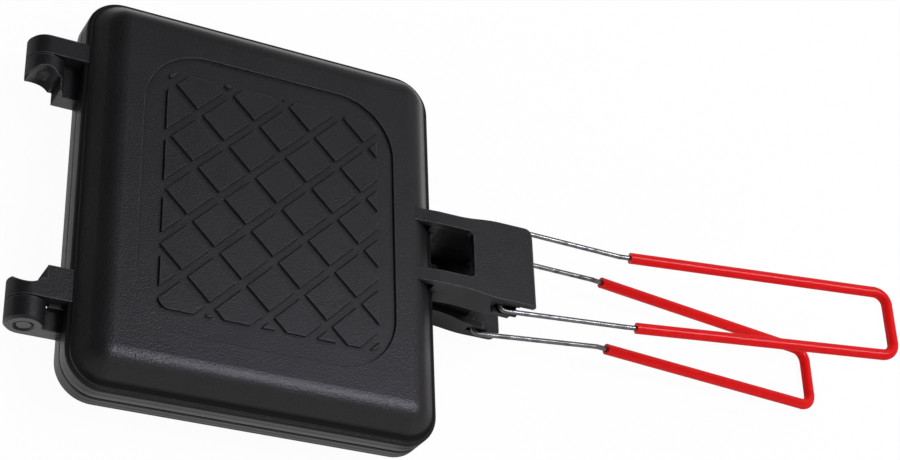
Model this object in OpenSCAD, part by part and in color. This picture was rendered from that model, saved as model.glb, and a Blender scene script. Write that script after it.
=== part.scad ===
// Double pie iron: two identical cast pans, the upper one turned over on the lower, hooked together
// on a hinge at one end and carried on two folding wire handles with red grips at the other.
// Frame: X runs from the hinge to the handles, Y across, Z up. The origin is the centre of the
// lower pan's flat outer face, so the plane where the pans meet is at z = half_height.

/* [Pans] */
// Width of a pan from hinge side to handle side
pan_width = 141; // [136:0.2:156]
// Length of a pan across the handle direction
pan_length = 158.8; // [152:0.2:176]
// Height of one pan from the meeting plane to its flat outer face
half_height = 15.5; // [14.5:0.1:18]
// Corner radius of the rim, seen from above
corner_radius = 14; // [13.8:0.1:16]
// Radius of the soft shoulder between the flat face and the sloping side
shoulder_radius = 10; // [8:0.5:10.5]
// Thickness of the cast walls and floor
wall = 3; // [2.4:0.1:3.4]

/* [Diamond pattern] */
// Width of the sunk panel on the outer face
panel_width = 100.3; // [96:0.1:104]
// Length of the sunk panel on the outer face
panel_length = 115.3; // [110:0.1:118]
// Depth of the sunk panel and of the grooves
panel_depth = 1; // [0.6:0.1:1.4]
// Width of the field of raised diamonds
field_width = 84.8; // [78:0.1:85]
// Length of the field of raised diamonds
field_length = 97.2; // [90:0.1:98]
// Width of the grooves between the diamonds
groove_width = 3.4; // [2.6:0.1:4]
// Distance between the grooves that run up to the right
rising_pitch = 15.04; // [13:0.02:17]
// Distance between the grooves that run down to the right
falling_pitch = 16.78; // [15:0.02:19]

/* [Hinge] */
// Outer radius of the knuckles
knuckle_radius = 7; // [6.2:0.1:7.4]
// Distance of the hinge axis from the rim
hinge_reach = 13; // [11:0.1:14]
// Diameter of the hinge pins
pin_diameter = 5.7; // [4:0.1:6.2]
// Clearance between pin and knuckle, on the radius
pin_clearance = 0.05; // [0.03:0.01:0.1]
// Width of the knuckle that turns on the pin
outer_knuckle_width = 8.4; // [6:0.1:10]
// Distance between the two joints between knuckles, across the hinge
hinge_span = 98.1; // [96:0.1:104]

/* [Handle brackets] */
// Reach of the bracket from the rim
bracket_reach = 40.2; // [38.6:0.1:44]
// Width of the bracket where it leaves the pan
bracket_root_width = 30.6; // [28:0.2:32]
// Width of the bracket at its tip
bracket_tip_width = 33.6; // [32.4:0.2:34.4]
// Thickness of the bracket's top plate
plate_thickness = 3.2; // [2.6:0.1:3.6]
// Thickness of the bracket's side walls
bracket_wall = 3; // [2.4:0.1:3.6]
// Width of the rectangular hole in the bracket
bracket_hole_width = 20; // [16:0.2:21]

/* [Handles] */
// Diameter of the handle wire
wire_diameter = 2; // [1.6:0.1:2.2]
// Outer diameter of the red grip
grip_diameter = 4.5; // [3.6:0.1:5]
// Length of the handle from its pivot to the end bar, along the wire
handle_length = 174.8; // [152:0.2:202]
// Distance from the pivot to the bend in the legs, along the wire
bend_distance = 55.2; // [50:0.2:62]
// Bend of the upper handle's legs, in degrees
upper_bend = 7.1; // [4:0.1:12]
// Bend of the lower handle's legs, in degrees
lower_bend = 11.7; // [8:0.1:13]
// Centre-line radius of the corners at the end bar
corner_bend_radius = 5.5; // [4.5:0.1:8]

/* [Hidden] */
$fn = 96;

// How far a cutting shape runs past the face that it cuts
cut = 1;
flip = [180, 0, 0];
quarter = 90;
half_pan = [pan_width / 2, pan_length / 2];
corner_centre = [half_pan.x - corner_radius, half_pan.y - corner_radius];

// Rim profile, as distance in from the edge and height above the meeting plane
rim_break = 0.35;
rim_steps = [[0, 5.7], [0.35, 6.2], [1.2, 6.6], [1.4, 7.4], [2.3, 7.9]];
crease = [corner_radius - rim_steps[4].x, rim_steps[4].y];
shoulder_inset = 11.4;
shoulder_centre = [crease.x - shoulder_inset, half_height - shoulder_radius];
to_crease = crease - shoulder_centre;
slope_angle = atan2(to_crease.y, to_crease.x) + acos(shoulder_radius / norm(to_crease));
slope_normal = [cos(slope_angle), sin(slope_angle)];
cavity_corner = crease - wall * slope_normal;
cavity_draft = 0.3;

// Sunk panel and diamonds
panel_radius = 23.6;
field_radius = 4;
field_shift = 0.8;
rising_offset = 0.69;
falling_offset = 2.26;
groove_taper = 0.25;
groove_counts = [-5, 5];

// Hinge
hinge_x = -half_pan.x - hinge_reach;
knuckle_gap = 0.5;
knuckle_break = 0.9;
arm_gap = 0.2;
arm_root = 4;
inner_knuckle_width = 7.2;
root_block = [5.1, hinge_span / 2 - 12.6];
root_tuck = [knuckle_radius + 0.5, 1.4, 2.4];
scallop_radius = 6;
scallop_centre = [hinge_x - 1.3, -hinge_span / 2 + 11.05];
pin_radius = pin_diameter / 2;
pin_press_depth = 5;
pin_recess = 0.4;
pin_end_break = 0.3;
pin_fit_gap = 0.02;
countersink = [1.05, 1.1];

// Handle bracket and the pivot in its walls, with heights above the meeting plane
plate_top = half_height + 0.9;
plate_bottom = plate_top - plate_thickness;
bracket_start = half_pan.x - 12;
bracket_tip = half_pan.x + bracket_reach;
pivot = [bracket_tip - 13.8, half_height - 4.7];
flare = [half_pan.x + 7, half_pan.x + 25];
flare_steps = 10;
tip_radius = 4;
tip_break = 1.2;
root_ramp = [10, 1.05];
wall_start = half_pan.x - 3;
wall_end = bracket_tip - 6;
wall_foot = [0.9, 3.4, 2.9];
wall_break = bracket_tip - 15;
gusset_start = 4.6;
gusset_breaks = [[bracket_tip - 26, 6], [pivot.x + 3.4, 8.8]];
rib_side = [10.4, 12.6];
rib_foot = 0.9;
rib_setback = 3.6;
bracket_hole_end = half_pan.x + 13.2;
bracket_hole_radius = 2;

// The slot in the wall's outer face where the wire turns in, and the lip under the wire
wire_radius = wire_diameter / 2;
pivot_clearance = 0.05;
slot_depth = 1;
slot_start = pivot.x - 2.6;
slot_rise = 1.6;
lip_thickness = 1.2;
lip_reach = 2.4;
lip_gap = 0.08;

// Handle loops, with half spacings at the pivot, the bend and the end bar
side_play = 0.8;
pivot_half = bracket_tip_width / 2 + wire_radius + side_play;
upper_halves = [pivot_half, 15.75, 14.4];
lower_halves = [pivot_half, 15.2, 13.3];
upper_rise = 3.2;
lower_rise = -4.3;
end_bend_radius = 2.5;
wire_end_inset = 6.3;
// The bar swells by this much where a bend meets a straight, over this length, which ties the two
joint_swell = 0.05;
joint_length = 0.4;
grip_start = 4.6;
grip_clearance = 0.15;

function leg_angle(near, far, run) = atan2(near - far, run);
function turn_centre(near, run, angle, radius) = near - (radius + run * sin(angle)) / cos(angle);
function flare_share(t) = (1 - cos(180 * t)) / 2;
function flare_x(t) = flare[0] + t * (flare[1] - flare[0]);
function half_width_at(t) =
    (bracket_root_width + flare_share(t) * (bracket_tip_width - bracket_root_width)) / 2;
function flare_points(inset, side) =
    [for (i = [0 : flare_steps]) [flare_x(i / flare_steps), side * (half_width_at(i / flare_steps) - inset)]];
function reversed(list) = [for (i = [len(list) - 1 : -1 : 0]) list[i]];
function tip_arc(half, tip) =
    [for (a = [0 : 15 : quarter])
        [tip - tip_radius + tip_radius * cos(a), half - tip_radius + tip_radius * sin(a)]];

// Profile of a pan's outside from a corner's centre outwards
module outer_profile() {
    union() {
        polygon(concat(
            [[0, 0], [corner_radius - rim_break, 0], [corner_radius, rim_break]],
            [for (step = rim_steps) [corner_radius - step.x, step.y]],
            [shoulder_centre + shoulder_radius * slope_normal,
             [shoulder_centre.x, half_height],
             [0, half_height]]));
        intersection() {
            translate(shoulder_centre) circle(r = shoulder_radius);
            translate(shoulder_centre) square(shoulder_radius + cut);
        }
    }
}

// Profile of the hollow inside, one wall thickness in
module inner_profile() {
    inner_radius = shoulder_radius - wall;
    union() {
        polygon([
            [0, -cut],
            [cavity_corner.x + cavity_draft, -cut],
            [cavity_corner.x + cavity_draft, 0],
            cavity_corner,
            shoulder_centre + inner_radius * slope_normal,
            [shoulder_centre.x, half_height - wall],
            [0, half_height - wall]]);
        intersection() {
            translate(shoulder_centre) circle(r = inner_radius);
            translate(shoulder_centre) square(inner_radius + cut);
        }
    }
}

// Carries a profile round the four corners and along the four sides, and fills the middle
module carried_round(bottom, top) {
    translate([-corner_centre.x, -corner_centre.y, bottom])
        cube([2 * corner_centre.x, 2 * corner_centre.y, top - bottom]);
    for (i = [0 : 3]) {
        place = i % 2 == 0 ? corner_centre : [corner_centre.y, corner_centre.x];
        rotate([0, 0, quarter * i]) translate([place.x, place.y, 0]) {
            rotate_extrude(angle = quarter) children();
            rotate([quarter, 0, 0]) linear_extrude(height = 2 * place.y) children();
        }
    }
}

module rounded_rectangle(width, length, radius) {
    square([width - 2 * radius, length], center = true);
    square([width, length - 2 * radius], center = true);
    for (sx = [-1, 1]) {
        for (sy = [-1, 1]) {
            translate([sx * (width / 2 - radius), sy * (length / 2 - radius)]) circle(r = radius);
        }
    }
}

// One straight groove with sloping sides, centred on the X axis of its own frame
module groove() {
    bottom = groove_width / 2 - groove_taper;
    top = groove_width / 2 + groove_taper * cut / panel_depth;
    rotate([quarter, 0, quarter]) linear_extrude(height = 2 * pan_length, center = true)
        polygon([[-bottom, 0], [bottom, 0], [top, panel_depth + cut], [-top, panel_depth + cut]]);
}

// The sunk frame round the diamonds and the grooves between them
module pattern_cut() {
    translate([0, 0, half_height - panel_depth]) {
        linear_extrude(height = panel_depth + cut) difference() {
            rounded_rectangle(panel_width, panel_length, panel_radius);
            translate([field_shift, 0]) rounded_rectangle(field_width, field_length, field_radius);
        }
        intersection() {
            linear_extrude(height = panel_depth + cut)
                rounded_rectangle(panel_width, panel_length, panel_radius);
            union() {
                for (i = [groove_counts[0] : groove_counts[1]]) {
                    rotate([0, 0, 45]) translate([0, -rising_offset - i * rising_pitch, 0]) groove();
                    rotate([0, 0, -45]) translate([0, falling_offset + i * falling_pitch, 0]) groove();
                }
            }
        }
    }
}

// Side view of a knuckle with its arm, run across the hinge from one y to another
module knuckle_block(from, to) {
    translate([0, to, 0]) rotate([quarter, 0, 0]) linear_extrude(height = to - from) {
        translate([hinge_x, 0]) circle(r = knuckle_radius);
        translate([hinge_x, arm_gap]) square([hinge_reach + arm_root, knuckle_radius - arm_gap]);
    }
}

// Takes the sharp edge off the free end of the outer knuckle, and off the top of its arm
module knuckle_end_break(end) {
    translate([hinge_x, end, 0]) rotate([-quarter, 0, 0]) rotate_extrude(angle = 3 * quarter)
        polygon([[knuckle_radius + cut, cut], [knuckle_radius - knuckle_break - cut, cut],
                 [knuckle_radius + cut, -knuckle_break - cut]]);
    translate([hinge_x, end, knuckle_radius]) rotate([quarter, 0, quarter])
        linear_extrude(height = hinge_reach + arm_root)
        polygon([[cut, cut], [-knuckle_break - cut, cut], [cut, -knuckle_break - cut]]);
}

module outer_knuckle() {
    start = hinge_span / 2 + knuckle_gap / 2;
    end = start + outer_knuckle_width;
    difference() {
        knuckle_block(start, end);
        knuckle_end_break(end);
        translate([hinge_x, start - cut, 0]) rotate([-quarter, 0, 0])
            cylinder(r = pin_radius + pin_clearance, h = outer_knuckle_width + 2 * cut);
        translate([hinge_x, end - countersink.y, 0]) rotate([-quarter, 0, 0])
            cylinder(r1 = pin_radius + pin_clearance, r2 = pin_radius + countersink.x, h = countersink.y);
    }
}

// The knuckle that holds the pin and the root block beside it, with a low ledge that reaches a
// little way under the other pan's arm
module inner_knuckle() {
    face = -hinge_span / 2 + knuckle_gap / 2;
    difference() {
        intersection() {
            knuckle_block(face, -root_block.y);
            linear_extrude(height = 4 * knuckle_radius, center = true) difference() {
                union() {
                    translate([hinge_x - knuckle_radius - cut, face])
                        square([hinge_reach + arm_root + knuckle_radius + 2 * cut, inner_knuckle_width]);
                    translate([hinge_x + root_block.x, face])
                        square([hinge_reach + arm_root, -root_block.y - face]);
                }
                translate(scallop_centre) circle(r = scallop_radius);
            }
        }
        translate([hinge_x, face - cut, 0]) rotate([-quarter, 0, 0])
            cylinder(r = pin_radius + pin_fit_gap, h = pin_press_depth + cut);
    }
    translate([hinge_x + root_tuck.x, face - root_tuck.y, arm_gap])
        cube([hinge_reach + arm_root - root_tuck.x, root_tuck.y + cut, root_tuck.z]);
}

// Outline of the bracket from above, drawn in by a distance all round
module bracket_outline(inset) {
    root = bracket_root_width / 2 - inset;
    half = bracket_tip_width / 2 - inset;
    tip = bracket_tip - inset;
    polygon(concat(
        [[bracket_start, -root]],
        flare_points(inset, -1),
        [[tip, -half]],
        tip_arc(half, tip),
        reversed(flare_points(inset, 1)),
        [[bracket_start, root]]));
}

// Extrudes a side view, drawn as x and height, across the whole bracket
module across(half) {
    translate([0, half, 0]) rotate([quarter, 0, 0]) linear_extrude(height = 2 * half) children();
}

module bracket_plate() {
    intersection() {
        linear_extrude(height = 2 * half_height) difference() {
            bracket_outline(0);
            translate([bracket_start - cut, -bracket_hole_width / 2])
                square([bracket_hole_end - bracket_hole_radius - bracket_start + cut, bracket_hole_width]);
            translate([bracket_start, -bracket_hole_width / 2 + bracket_hole_radius])
                square([bracket_hole_end - bracket_start, bracket_hole_width - 2 * bracket_hole_radius]);
            for (side = [-1, 1]) {
                translate([bracket_hole_end - bracket_hole_radius,
                           side * (bracket_hole_width / 2 - bracket_hole_radius)])
                    circle(r = bracket_hole_radius);
            }
        }
        across(bracket_tip_width) polygon([
            [bracket_start, plate_bottom],
            [bracket_tip - tip_break / 2, plate_bottom],
            [bracket_tip, plate_bottom + tip_break / 2],
            [bracket_tip, plate_top - tip_break],
            [bracket_tip - tip_break, plate_top - tip_break / 4],
            [bracket_tip - 2 * tip_break, plate_top],
            [bracket_start + root_ramp.x, plate_top],
            [bracket_start, plate_top - root_ramp.y]]);
    }
}

// The long wall that covers the joint between the pans on one side; on the other side the gusset
// and a rib further in that runs down to the joint
module bracket_walls() {
    half = bracket_tip_width / 2;
    intersection() {
        linear_extrude(height = plate_bottom + cut) difference() {
            bracket_outline(0);
            bracket_outline(bracket_wall);
        }
        union() {
            translate([0, -half, 0]) across(half) polygon([
                [wall_start, wall_foot[0]],
                [wall_break, wall_foot[1]],
                [wall_end, wall_foot[2]],
                [wall_end, plate_bottom + cut],
                [wall_start, plate_bottom + cut]]);
            translate([0, half, 0]) across(half) polygon([
                [wall_start, gusset_start],
                [half_pan.x, gusset_start],
                gusset_breaks[0],
                gusset_breaks[1],
                [wall_end, plate_bottom],
                [wall_end, plate_bottom + cut],
                [wall_start, plate_bottom + cut]]);
        }
    }
    translate([0, rib_side[1], 0]) rotate([quarter, 0, 0])
        linear_extrude(height = rib_side[1] - rib_side[0])
        translate([wall_start, rib_foot])
        square([pivot.x - rib_setback - wall_start, plate_bottom + cut / 2 - rib_foot]);
}

// The lip on the long wall that the wire rests on, which follows the rise of the handle's legs
module bracket_lip(rise) {
    face = bracket_tip_width / 2 - slot_depth;
    top = pivot.y - wire_radius - lip_gap;
    end_top = top + (wall_end - pivot.x) * tan(rise);
    translate([0, -face + cut / 2, 0]) rotate([quarter, 0, 0])
        linear_extrude(height = slot_depth + lip_reach + cut / 2) polygon([
            [slot_start, top - lip_thickness],
            [wall_end, end_top - lip_thickness],
            [wall_end, end_top],
            [pivot.x, top],
            [slot_start, top]]);
}

// Holes for the wire's ends and the slots over them in which the wire turns in
module pivot_cut(rise) {
    face = bracket_tip_width / 2 - slot_depth;
    bottom = pivot.y - wire_radius - lip_gap;
    end_bottom = bottom + (wall_end - pivot.x) * tan(rise);
    translate([pivot.x, 0, pivot.y]) rotate([quarter, 0, 0])
        cylinder(r = wire_radius + pivot_clearance, h = 2 * bracket_tip_width, center = true);
    for (side = [0, 1]) {
        mirror([0, side, 0]) translate([0, -face, 0]) rotate([quarter, 0, 0])
            linear_extrude(height = slot_depth + lip_reach + cut) polygon([
                [slot_start, bottom],
                [pivot.x, bottom],
                [wall_end + cut, end_bottom],
                [wall_end + cut, pivot.y + slot_rise],
                [slot_start, pivot.y + slot_rise]]);
    }
}

// One cast pan, standing on the meeting plane with its flat outer face up
module pan_casting(rise) {
    difference() {
        union() {
            carried_round(0, half_height) outer_profile();
            outer_knuckle();
            inner_knuckle();
            bracket_plate();
            bracket_walls();
            bracket_lip(rise);
        }
        pivot_cut(rise);
        carried_round(-cut, half_height - wall) inner_profile();
        pattern_cut();
    }
}

// Pin pressed into the inner knuckle, with its free end in the other pan's outer knuckle
module hinge_pin() {
    inner_end = -hinge_span / 2 + knuckle_gap / 2 + pin_press_depth;
    outer_end = -hinge_span / 2 - knuckle_gap / 2 - outer_knuckle_width + pin_recess;
    length = inner_end - outer_end;
    translate([hinge_x, inner_end, 0]) rotate([quarter, 0, 0]) rotate_extrude()
        polygon([[0, 0], [pin_radius, 0], [pin_radius, length - pin_end_break],
                 [pin_radius - pin_end_break, length], [0, length]]);
}

// Slim collar along Z over the place where a straight runs into a bend
module joint(radius) {
    cylinder(r = radius + joint_swell, h = joint_length, center = true);
}

// Puts the frame of a leg, which runs along Z, at a distance along it
module along_leg(half, angle, distance) {
    translate([0, half, 0]) rotate([0, quarter, -angle]) translate([0, 0, distance]) children();
}

// Both legs and the end bar beyond the bend, as a round bar of one radius
module outer_loop(radius, halves, start) {
    run = handle_length - bend_distance;
    angle = leg_angle(halves[1], halves[2], run);
    centre = turn_centre(halves[1], run - corner_bend_radius, angle, corner_bend_radius);
    reach = (run - corner_bend_radius + corner_bend_radius * sin(angle)) / cos(angle);
    for (side = [0, 1]) {
        mirror([0, side, 0]) {
            along_leg(halves[1], angle, start) cylinder(r = radius, h = reach - start);
            along_leg(halves[1], angle, reach) joint(radius);
            translate([run - corner_bend_radius, centre, 0]) rotate_extrude(angle = quarter - angle)
                translate([corner_bend_radius, 0]) circle(r = radius);
            translate([run, centre, 0]) rotate([quarter, 0, 0]) joint(radius);
        }
    }
    translate([run, 0, 0]) rotate([quarter, 0, 0]) cylinder(r = radius, h = 2 * centre, center = true);
}

// Both legs from the ends that turn in at the pivot to the bend
module inner_loop(radius, halves) {
    angle = leg_angle(halves[0], halves[1], bend_distance);
    centre = turn_centre(halves[0], end_bend_radius, angle, end_bend_radius);
    start = end_bend_radius * (1 + sin(angle)) / cos(angle);
    reach = bend_distance / cos(angle);
    for (side = [0, 1]) {
        mirror([0, side, 0]) {
            translate([0, centre, 0]) rotate([quarter, 0, 0]) {
                cylinder(r = radius, h = centre - halves[0] + wire_end_inset);
                joint(radius);
            }
            translate([end_bend_radius, centre, 0]) rotate([0, 0, quarter - angle])
                rotate_extrude(angle = quarter + angle) translate([end_bend_radius, 0]) circle(r = radius);
            along_leg(halves[0], angle, start) {
                joint(radius);
                cylinder(r = radius, h = reach - start);
            }
            along_leg(halves[0], angle, reach) sphere(r = radius + joint_swell);
        }
    }
}

// Puts a handle's own frame, with the pivot at its origin, at the upper pan's pivot
module at_pivot(rise) {
    translate([pivot.x, 0, pivot.y]) rotate([0, -rise, 0]) children();
}

// Turns to the frame of the legs beyond the bend
module beyond_bend(bend) {
    translate([bend_distance, 0, 0]) rotate([0, -bend, 0]) children();
}

module handle_wire(rise, bend, halves) {
    at_pivot(rise) {
        inner_loop(wire_radius, halves);
        beyond_bend(bend) outer_loop(wire_radius, halves, 0);
    }
}

module grip(rise, bend, halves) {
    at_pivot(rise) beyond_bend(bend) difference() {
        outer_loop(grip_diameter / 2, halves, grip_start);
        outer_loop(wire_radius + grip_clearance, halves, grip_start - cut);
    }
}

// Lifts an upper piece onto the meeting plane
module above() {
    translate([0, 0, half_height]) children();
}

// Turns a piece over about X, so that it hangs under the meeting plane
module below() {
    translate([0, 0, half_height]) rotate(flip) children();
}

module lower_pan() {
    color([0.2, 0.2, 0.21]) below() pan_casting(lower_rise);
}

module upper_pan() {
    color([0.2, 0.2, 0.21]) above() pan_casting(upper_rise);
}

module lower_hinge_pin() {
    color([0.3, 0.3, 0.31]) below() hinge_pin();
}

module upper_hinge_pin() {
    color([0.3, 0.3, 0.31]) above() hinge_pin();
}

module lower_handle_wire() {
    color([0.75, 0.75, 0.76]) below() handle_wire(lower_rise, lower_bend, lower_halves);
}

module upper_handle_wire() {
    color([0.75, 0.75, 0.76]) above() handle_wire(upper_rise, upper_bend, upper_halves);
}

module lower_grip() {
    color([0.85, 0.05, 0.06]) below() grip(lower_rise, lower_bend, lower_halves);
}

module upper_grip() {
    color([0.85, 0.05, 0.06]) above() grip(upper_rise, upper_bend, upper_halves);
}

lower_pan();
upper_pan();
lower_hinge_pin();
upper_hinge_pin();
lower_handle_wire();
upper_handle_wire();
lower_grip();
upper_grip();
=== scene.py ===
import bmesh
import bpy
from mathutils import Matrix, Vector


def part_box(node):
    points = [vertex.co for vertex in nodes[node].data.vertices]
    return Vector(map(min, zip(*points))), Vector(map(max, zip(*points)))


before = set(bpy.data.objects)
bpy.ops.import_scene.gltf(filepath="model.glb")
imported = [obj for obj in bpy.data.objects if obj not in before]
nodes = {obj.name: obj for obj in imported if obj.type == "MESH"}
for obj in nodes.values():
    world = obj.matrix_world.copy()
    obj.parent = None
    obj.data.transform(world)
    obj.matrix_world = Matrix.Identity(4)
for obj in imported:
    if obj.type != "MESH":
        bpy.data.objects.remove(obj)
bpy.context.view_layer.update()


# The two pans
# Each is one aluminium casting with its hinge knuckles and its handle bracket, under a thin baked
# non-stick coat: near black and satin, with the fine grain of a sprayed coat. Creases, rim steps and
# the joint get painted shade, and outer edges a lighter painted highlight. Every cast edge is soft.

class Signal:
    """One output in a finish's node tree. Arithmetic adds Math nodes, and a | b is the larger one."""

    def __init__(self, finish, socket):
        self.finish = finish
        self.socket = socket

    def math(self, operation, *values):
        return self.finish.node("ShaderNodeMath", {"operation": operation}, values)

    def __abs__(self):
        return self.math("ABSOLUTE", self)

    def __add__(self, other):
        return self.math("ADD", self, other)

    def __sub__(self, other):
        return self.math("SUBTRACT", self, other)

    def __rsub__(self, other):
        return self.math("SUBTRACT", other, self)

    def __mul__(self, other):
        return self.math("MULTIPLY", self, other)

    def __or__(self, other):
        return self.math("MAXIMUM", self, other)

    __radd__ = __add__
    __rmul__ = __mul__
    __ror__ = __or__


class Finish:
    """A material or world in the making. node() adds a node and gives one of its outputs."""

    def __init__(self, block):
        self.block = block
        block.use_nodes = True
        self.tree = block.node_tree
        self.tree.nodes.clear()

    def node(self, kind, settings=None, inputs=(), output=0):
        made = self.tree.nodes.new(kind)
        for name, value in (settings or {}).items():
            if name == "stops":
                stops = made.color_ramp.elements
                while len(stops) < len(value):
                    stops.new(1)
                for stop, (position, grey) in zip(stops, value):
                    stop.position = position
                    stop.color = (grey, grey, grey, 1)
            else:
                setattr(made, name, value)
        for key, value in inputs.items() if isinstance(inputs, dict) else enumerate(inputs):
            if isinstance(value, Signal):
                self.tree.links.new(value.socket, made.inputs[key])
            else:
                made.inputs[key].default_value = value
        return Signal(self, made.outputs[output]) if len(made.outputs) else None

    def millimetres(self, stretch=(1, 1, 1)):
        """The object's own coordinates in millimetres, stretched along each axis."""
        place = self.node("ShaderNodeTexCoord", output="Object")
        return self.node("ShaderNodeMapping", inputs={"Vector": place, "Scale": [1000 * s for s in stretch]})

    def axis(self, name, vector):
        """One coordinate of a vector."""
        return self.node("ShaderNodeSeparateXYZ", inputs={"Vector": vector}, output=name)

    def noise(self, size, detail=2.0, stretch=(1, 1, 1)):
        """Noise from 0 to 1 whose lumps are about size millimetres across."""
        return self.node("ShaderNodeTexNoise", inputs={"Vector": self.millimetres(stretch),
                                                       "Scale": 1 / size, "Detail": detail})

    def openness(self, reach, samples, inside=False):
        """1 on open surface, less in creases up to reach metres wide, or on outer edges if inside."""
        return self.node("ShaderNodeAmbientOcclusion", {"samples": samples, "inside": inside},
                         {"Distance": reach}, "AO")

    def ramp(self, value, *stops, start=0, end=1):
        """Greys at the stops of a value. The stops run from start towards end, as the node needs."""
        size = end - start
        if (start, size) != (0, 1):
            value = (value - start) * (1 / size)
        stops = [((place - start) / size, grey) for place, grey in stops]
        return self.node("ShaderNodeValToRGB", {"stops": stops}, {"Fac": value})

    def blend(self, share, *colours):
        """Mixes two colours by share. Each is three numbers or a signal."""
        first, second = [c if isinstance(c, Signal) else (*c, 1) for c in colours]
        return self.node("ShaderNodeMix", {"data_type": "RGBA"}, {0: share, 6: first, 7: second}, 2)

    def bump(self, height, distance, strength=1.0, over=None):
        """Raises the surface by up to distance metres, over another bump if given."""
        inputs = {"Height": height, "Distance": distance, "Strength": strength}
        if over:
            inputs["Normal"] = over
        return self.node("ShaderNodeBump", inputs=inputs)

    def done(self, inputs, share=None, other=None):
        """Ends the material with one shader, or with a share of another one mixed in."""
        shader = self.node("ShaderNodeBsdfPrincipled", inputs=inputs)
        if other:
            second = self.node("ShaderNodeBsdfPrincipled", inputs=other)
            shader = self.node("ShaderNodeMixShader", inputs={0: share, 1: shader, 2: second})
        self.node("ShaderNodeOutputMaterial", inputs={"Surface": shader})
        return self.block


def dress(material, *names):
    """Gives CAD nodes their material."""
    for name in names:
        nodes[name].data.materials.clear()
        nodes[name].data.materials.append(material)


blackest_coat = (0.0035, 0.0035, 0.0040)
greyest_coat = (0.0135, 0.0135, 0.0143)
# Painted light on the pattern's steep walls, a painted highlight on edges, and painted shade in creases:
painted_wall_light_colour = (0.018, 0.018, 0.019)
painted_highlight_colour = (0.06, 0.06, 0.063)
painted_shade_colour = (0.003, 0.003, 0.003, 1)
joint_height = 15.5     # millimetres, as are the stops below that say where on a pan something lies
edge_softness = 0.00035
grain_height = 0.00012
lump_height = 0.00012

coat = Finish(bpy.data.materials.new("coated_cast"))
grain = coat.noise(0.65, 4)
fine = coat.ramp(coat.noise(0.5, 2), (0.3, 0), (0.7, 1))
lumps = coat.noise(14, 2)
pores = coat.node("ShaderNodeTexVoronoi", inputs={"Vector": coat.millimetres(), "Scale": 0.9})
specks = coat.ramp(pores, (0.0, 1), (0.16, 0))
soft_edge = coat.node("ShaderNodeBevel", {"samples": 6}, {"Radius": edge_softness})
waves = coat.bump(lumps, lump_height, over=soft_edge)

# Where on the castings: above or below the joint, between the two ends, on the patterned faces, on
# the brackets, and away from the hinge.
place = coat.millimetres()
from_joint = coat.axis("Z", place) - joint_height
from_middle = coat.axis("X", place)
between_ends = coat.ramp(abs(from_middle), (70.6, 1), (70.9, 0), end=100)
face = between_ends * coat.ramp(abs(from_joint), (14.0, 0), (14.4, 1), end=20)
bracket = coat.ramp(from_middle, (71, 0), (72, 1), end=100)
off_hinge = coat.ramp(from_middle, (-62, 1), (-67, 0.35), end=-100)

# Painted shade: creases of three widths, lines along the rims' fine steps, and the gap between the pans.
creases = coat.ramp(coat.openness(0.006, 6), (0.35, 1), (0.85, 0))
corners = coat.ramp(coat.openness(0.0011, 6), (0.62, 1), (0.93, 0))
hollows = bracket * coat.ramp(coat.openness(0.025, 8), (0.42, 1), (0.72, 0))
steps = coat.ramp(abs(from_joint), (1.4, 0), (2.2, 0.2), (3.0, 0.55), (3.6, 0.5), (4.2, 0.15),
                  (4.7, 0.25), (5.4, 0.8), (6.0, 0.65), (6.6, 0.25), (7.0, 0.4), (7.3, 1), (8.3, 1),
                  (9.3, 0), end=10)
gap = coat.ramp(from_joint, (-1.7, 0), (-1.3, 1), (0.2, 1), (0.6, 0), start=-5, end=5)
painted_shade = (1 - 0.5 * face) * (creases | corners) | hollows | 0.85 * (steps | gap) * between_ends

# Painted highlight on outer edges, in patches, and painted light on the low steep walls of the pattern.
patches = 0.35 + 0.65 * coat.ramp(coat.noise(3, 3), (0.35, 0), (0.6, 1))
edges = coat.ramp(coat.openness(0.0006, 8, inside=True), (0.60, 1), (0.88, 0))
painted_edge_highlight = edges * patches * (1 - 0.55 * face)
upright = coat.axis("Z", coat.node("ShaderNodeTexCoord", output="Normal"))
painted_light_on_walls = coat.ramp(abs(upright), (0.3, 1), (0.7, 0)) * face
colour = coat.blend(0.3 * lumps + 0.7 * fine, blackest_coat, greyest_coat)
colour = coat.blend(painted_light_on_walls, colour, painted_wall_light_colour)

# The second, dull near-black shader is painted shade, mixed in where the shade is painted.
coated_cast = coat.done(
    {"Base Color": coat.blend(painted_edge_highlight, colour, painted_highlight_colour),
     "Roughness": 0.31 + 0.08 * grain + 0.06 * lumps - 0.05 * specks,
     "Normal": coat.bump(grain, grain_height, over=waves)},
    off_hinge * painted_shade,
    {"Base Color": painted_shade_colour, "Roughness": 0.7, "Specular IOR Level": 0.1})
dress(coated_cast, "lower_pan", "upper_pan")


# The two hinge pins
# Plain pins, pressed into the inner knuckles before the coat was baked on, so that their ends carry
# the same coat, rubbed a little thinner where they turn in the outer knuckle.

coated = (0.014, 0.014, 0.015)
rubbed = (0.05, 0.05, 0.05)
pin = Finish(bpy.data.materials.new("coated_pin"))
grain = pin.noise(0.4, 3)
rub = pin.ramp(pin.noise(1.8, 3), (0.45, 0), (0.75, 1))
coated_pin = pin.done({
    "Base Color": pin.blend(rub, coated, rubbed),
    "Roughness": 0.34 + 0.1 * grain,
    "Metallic": 0.35 * rub,
    "Normal": pin.bump(grain, 0.00004, 0.7)})
dress(coated_pin, "lower_hinge_pin", "upper_hinge_pin")


# The two handle wires
# Bright drawn steel wire, bent to a long loop whose ends turn in and snap into the bracket's lugs.
# Drawing leaves fine lines along it, and handling a few dull spots.

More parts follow.
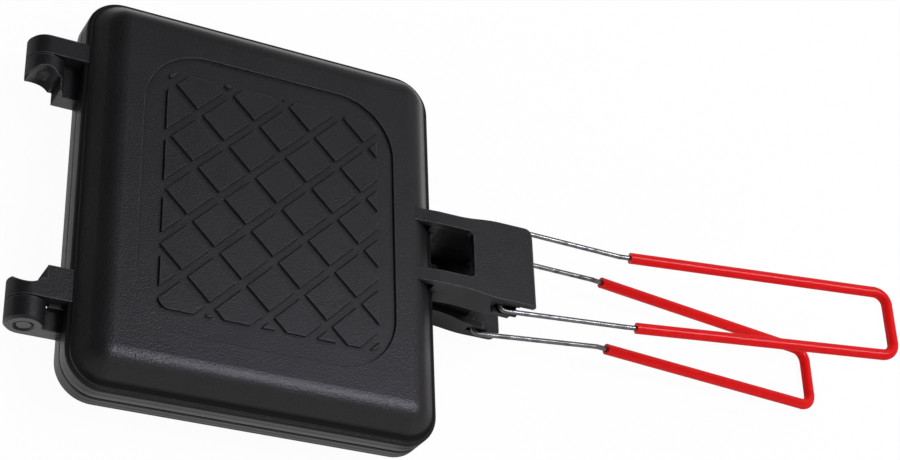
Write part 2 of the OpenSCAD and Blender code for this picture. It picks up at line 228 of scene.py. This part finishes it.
bright = (0.30, 0.30, 0.295)
dulled = (0.13, 0.13, 0.128)
wire = Finish(bpy.data.materials.new("bright_wire"))
lines = wire.noise(0.25, 4, (0.02, 1, 1))
dull = wire.ramp(wire.noise(3.5, 4), (0.42, 0), (0.72, 1))
bright_wire = wire.done({
    "Base Color": wire.blend(dull, bright, dulled),
    "Roughness": 0.22 + 0.10 * lines + 0.16 * dull,
    "Metallic": 1.0,
    "Normal": wire.bump(lines, 0.00001, 0.4)})
dress(bright_wire, "lower_handle_wire", "upper_handle_wire")


# The two grips
# Red sleeves of soft glossy plastic over the outer part of each loop, dipped and cured, so that they
# follow the wire round its corners, with a skin that is slightly wavy.

deep_red = (0.60, 0.002, 0.003)
bright_red = (0.72, 0.005, 0.006)
sleeve = Finish(bpy.data.materials.new("red_sleeve"))
ripples = sleeve.noise(3.2, 2)
fine = sleeve.noise(0.5, 2)
red_sleeve = sleeve.done({
    "Base Color": sleeve.blend(ripples, deep_red, bright_red),
    "Roughness": 0.24 + 0.10 * fine,
    "Specular IOR Level": 0.12,
    "Coat Weight": 0.14,
    "Coat Roughness": 0.12,
    "Normal": sleeve.bump(ripples + 0.08 * fine, 0.00012, 0.6)})
dress(red_sleeve, "lower_grip", "upper_grip")


# The floor
# A plain white sheet. It falls slightly towards the handles, so that the shut iron stands on it as
# on a table: on the hinge side's lower edge and on the end of the lower handle. It falls the other
# way too, which leaves room for the upper handle when the lid is open.

floor_size = 6.0
floor_gap = 0.0004
fall_behind = 0.065
grip_inset = 0.002
pan_foot = Vector((-0.0580, 0.0))       # where the hinge side stands, along X and Z
low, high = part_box("lower_grip")
handle_foot = Vector((high.x - grip_inset, low.z))
fall_in_front = (handle_foot.y - pan_foot.y) / (handle_foot.x - pan_foot.x)
sheet = bmesh.new()
bmesh.ops.create_grid(sheet, x_segments=2, y_segments=1, size=floor_size / 2)
for point in sheet.verts:
    point.co.z = point.co.x * (fall_in_front if point.co.x > 0 else fall_behind)
bmesh.ops.translate(sheet, verts=sheet.verts, vec=(pan_foot.x, 0, pan_foot.y - floor_gap))
floor_mesh = bpy.data.meshes.new("floor")
sheet.to_mesh(floor_mesh)
sheet.free()
floor = bpy.data.objects.new("floor", floor_mesh)
bpy.context.scene.collection.objects.link(floor)


def rays(finish, *kinds):
    """1 for rays of any of the kinds, and 0 for others."""
    share = finish.node("ShaderNodeLightPath", output=kinds[0])
    return share | rays(finish, *kinds[1:]) if kinds[1:] else share


# The sheet is plain white to look at and keeps the iron's shadow. Reflections alone find it dark beside
# the hinge end, far off, and below the brackets, as the photograph's coat mirrors dark things there.
# The stops are millimetres from the middle.
paint = Finish(bpy.data.materials.new("white_floor"))
place = paint.millimetres()
across = paint.axis("X", place)
along = paint.axis("Y", place)
beside_hinge = paint.ramp(across, (-74, 0), (-80, 1), (-90, 1), (-100, 0.7), end=-100)
beside_hinge = beside_hinge * paint.ramp(along, (-60, 0), (-46, 1), start=-60, end=40)
far_off = paint.ramp(across | along, (110, 0), (260, 0.85), end=1000)
below_brackets = paint.ramp(across, (66, 0), (74, 0.68), end=100)
below_brackets = below_brackets * paint.ramp(along, (-10, 0), (-20, 1), start=50, end=-50)
dark_places = beside_hinge | far_off | below_brackets
lit = paint.node("ShaderNodeBsdfDiffuse", inputs={"Color": (0.8, 0.8, 0.8, 1)})
plain = paint.node("ShaderNodeEmission", inputs={"Color": (1, 1, 1, 1), "Strength": 1.0})
dark = paint.node("ShaderNodeBsdfDiffuse", inputs={"Color": (0.03, 0.03, 0.03, 1)})
plainness = 0.96 * rays(paint, "Is Camera Ray", "Is Glossy Ray", "Is Transmission Ray")
darkness = 0.95 * rays(paint, "Is Glossy Ray") * dark_places
surface = paint.node("ShaderNodeMixShader", inputs={0: plainness, 1: lit, 2: plain})
surface = paint.node("ShaderNodeMixShader", inputs={0: darkness, 1: surface, 2: dark})
paint.node("ShaderNodeOutputMaterial", inputs={"Surface": surface})
floor_mesh.materials.append(paint.block)


# The light
# A soft studio: white all round low down, under a grey ceiling that is darker over the hinge side.
# Two faintly cool soft boxes overhead are mirrored in the coat. Two large white ones, behind and in
# front, only light the iron.

room_light = 0.45
room = bpy.data.worlds.new("studio")
bpy.context.scene.world = room
air = Finish(room)
way = air.node("ShaderNodeTexCoord", output="Generated")
over_handles = air.ramp(air.axis("X", way), (0.0, 0.02), (0.52, 0.30), start=-1)
over_near_side = air.ramp(air.axis("Y", way), (-0.2, 0), (-0.7, 0.26), start=1, end=-1)
walls = air.ramp(air.axis("Z", way), (0.0, 1), (0.05, 0))
mirrored = rays(air, "Is Glossy Ray")
seen = rays(air, "Is Camera Ray", "Is Transmission Ray")
reflected = walls + (1 - walls) * (over_handles + over_near_side)
strength = seen + (1 - seen) * (room_light * (1 - mirrored) + mirrored * reflected)
background = air.node("ShaderNodeBackground", inputs={"Color": (1, 1, 1, 1), "Strength": strength})
air.node("ShaderNodeOutputWorld", inputs={"Surface": background})

iron_middle = Vector((0.03, 0, 0.02))
cool_white = (0.95, 0.95, 1.10)


def soft_box(name, direction, distance, size, power, mirrored=False):
    """An area light aimed at the pans from a direction, with its size and its power in watts."""
    lamp = bpy.data.lights.new(name, "AREA")
    lamp.shape = "RECTANGLE"
    lamp.size, lamp.size_y = size
    lamp.energy = power
    lamp.color = cool_white if mirrored else (1, 1, 1)
    box = bpy.data.objects.new(name, lamp)
    aim = Vector(direction).normalized()
    turn = aim.to_track_quat("Z", "Y").to_matrix().to_4x4()
    box.matrix_world = Matrix.Translation(iron_middle + aim * distance) @ turn
    box.visible_camera = False
    box.visible_glossy = mirrored
    bpy.context.scene.collection.objects.link(box)


soft_box("overhead", (0.40, -0.01, 0.91), 1.3, (0.44, 0.36), 5.6, mirrored=True)
soft_box("end", (0.23, -0.03, 0.95), 1.3, (0.12, 0.3), 1.2, mirrored=True)
soft_box("behind", (0.5, 0.8, 0.6), 1.6, (1.2, 0.8), 8)
soft_box("front", (0.3, -0.9, 0.7), 1.8, (1.2, 0.8), 8)


# The camera
# Above the near hinge corner, looking along the iron towards the handles, rolled as the photograph
# was turned. Its place and its lens were fitted to the photograph's perspective.

eye = Vector((-0.24451, -0.35812, 0.60138))
right = Vector((0.88143, -0.03239, 0.47121))
up = Vector((-0.20610, 0.87129, 0.44540))
backward = Vector((-0.42498, -0.48971, 0.76130))
lens = bpy.data.cameras.new("camera")
lens.lens = 78.475
lens.sensor_width = 36
lens.clip_start = 0.01
camera = bpy.data.objects.new("camera", lens)
turn = Matrix((right, up, backward)).transposed().to_4x4()
camera.matrix_world = Matrix.Translation(eye) @ turn
bpy.context.scene.collection.objects.link(camera)
bpy.context.scene.camera = camera
bpy.context.scene.view_settings.view_transform = "Standard"
